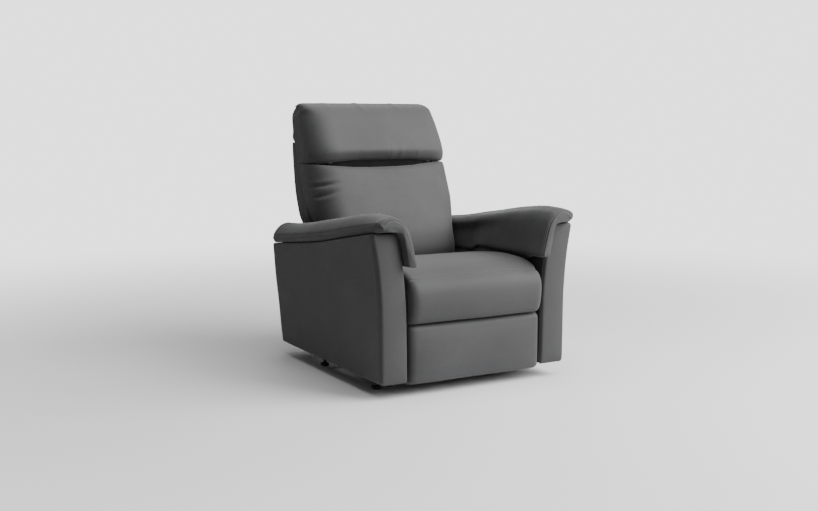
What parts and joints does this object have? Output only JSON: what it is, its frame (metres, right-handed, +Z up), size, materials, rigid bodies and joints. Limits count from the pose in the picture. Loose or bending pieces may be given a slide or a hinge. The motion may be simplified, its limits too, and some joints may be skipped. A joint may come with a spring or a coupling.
{
  "type": "recliner armchair",
  "caption": "Push-back recliner armchair with padded arms, reclining back, tilting headrest and a fold-out footrest on a link mechanism.",
  "frame": {"origin": "on the floor, under the middle of the chair's overall box", "axes": "+Z up, the front of the chair faces -Y, +X to the right when looking at the front from behind the camera (along +Y)"},
  "size_m": [0.852, 0.99, 1.024],
  "materials": {
    "leather_arm": "satin",
    "leather_pad": "satin",
    "leather_seat": "satin",
    "leather_head": "satin",
    "leather_back": "satin",
    "leather_foot": "satin",
    "plywood": "matte",
    "steel_black": "satin",
    "steel_bright": "satin",
    "plastic_black": "matte",
    "plastic_white": "matte"
  },
  "bodies": {
    "base": {"base_rail_L": "steel_black", "base_rail_R": "steel_black", "guide_rail_L": "steel_black", "guide_rail_R": "steel_black", "glide_front_L": "plastic_black", "glide_front_R": "plastic_black", "glide_rear_L": "plastic_black", "glide_rear_R": "plastic_black", "arm_board_L": "plywood", "arm_board_R": "plywood", "arm_inner_cover_L": "leather_arm", "arm_inner_cover_R": "leather_arm", "arm_outer_cover_L": "leather_arm", "arm_outer_cover_R": "leather_arm", "arm_front_cover_L": "leather_arm", "arm_front_cover_R": "leather_arm", "arm_rear_cover_L": "leather_arm", "arm_rear_cover_R": "leather_arm", "arm_pad_L": "leather_pad", "arm_pad_R": "leather_pad", "front_cross_tube": "steel_black", "rear_cross_tube": "steel_black", "rear_board": "plywood"},
    "seat": {"seat_rail_L": "steel_black", "seat_rail_R": "steel_black", "slide_block_L": "plastic_white", "slide_block_R": "plastic_white", "seat_front_board": "plywood", "seat_rear_board": "plywood", "seat_spring_1": "steel_bright", "seat_spring_2": "steel_bright", "seat_spring_3": "steel_bright", "seat_cushion": "leather_seat"},
    "back": {"back_bracket_L": "steel_black", "back_bracket_R": "steel_black", "back_upright_L": "plywood", "back_upright_R": "plywood", "back_top_rail": "plywood", "back_bottom_rail": "plywood", "back_shell": "leather_back", "back_cushion": "leather_seat", "headrest_hinge": "steel_black"},
    "headrest": {"headrest_frame": "steel_black", "headrest_cushion": "leather_head"},
    "rear_links": {"rear_link_L": "steel_black", "rear_link_R": "steel_black", "torque_tube": "steel_black"},
    "front_links": {"front_link_L": "steel_black", "front_link_R": "steel_black"},
    "main_links": {"main_link_L": "steel_black", "main_link_R": "steel_black"},
    "top_links": {"top_link_L": "steel_black", "top_link_R": "steel_black"},
    "footrest": {"footrest_bracket_L": "steel_black", "footrest_bracket_R": "steel_black", "footrest_board": "plywood", "footrest_pad": "leather_foot"}
  },
  "joints": [
    {"name": "seat_glide", "type": "slide", "parent": "base", "child": "seat", "axis": [0, -1, 0], "range_m": [0, 0.05]},
    {"name": "back_recline", "type": "hinge", "parent": "seat", "child": "back", "pos_m": [0, 0.155, 0.28], "axis": [-1, 0, 0], "range_deg": [0, 35]},
    {"name": "headrest_tilt", "type": "hinge", "parent": "back", "child": "headrest", "pos_m": [0, 0.262, 0.78], "axis": [1, 0, 0], "range_deg": [0, 35]},
    {"name": "footrest_swing", "type": "hinge", "parent": "seat", "child": "rear_links", "pos_m": [0, -0.145, 0.27], "axis": [-1, 0, 0], "range_deg": [0, 97]},
    {"name": "front_link_swing", "type": "hinge", "parent": "seat", "child": "front_links", "pos_m": [0, -0.245, 0.3], "axis": [-1, 0, 0], "range_deg": [0, 97]},
    {"name": "main_link_pivot", "type": "hinge", "parent": "rear_links", "child": "main_links", "pos_m": [0, -0.031, 0.065], "axis": [-1, 0, 0], "range_deg": [-97, 0]},
    {"name": "top_link_pivot", "type": "hinge", "parent": "rear_links", "child": "top_links", "pos_m": [0, -0.06016, 0.11744], "axis": [-1, 0, 0], "range_deg": [-97, 0]},
    {"name": "footrest_pivot", "type": "hinge", "parent": "main_links", "child": "footrest", "pos_m": [0, -0.36, 0.12], "axis": [-1, 0, 0], "range_deg": [0, 97]}
  ],
  "couplings": [
    {"joint": "back_recline", "follows": "seat_glide", "rad_per_m": 12.217},
    {"joint": "front_link_swing", "follows": "footrest_swing", "ratio": 1},
    {"joint": "main_link_pivot", "follows": "footrest_swing", "ratio": -1},
    {"joint": "top_link_pivot", "follows": "footrest_swing", "ratio": -1},
    {"joint": "footrest_pivot", "follows": "footrest_swing", "ratio": 1}
  ]
}
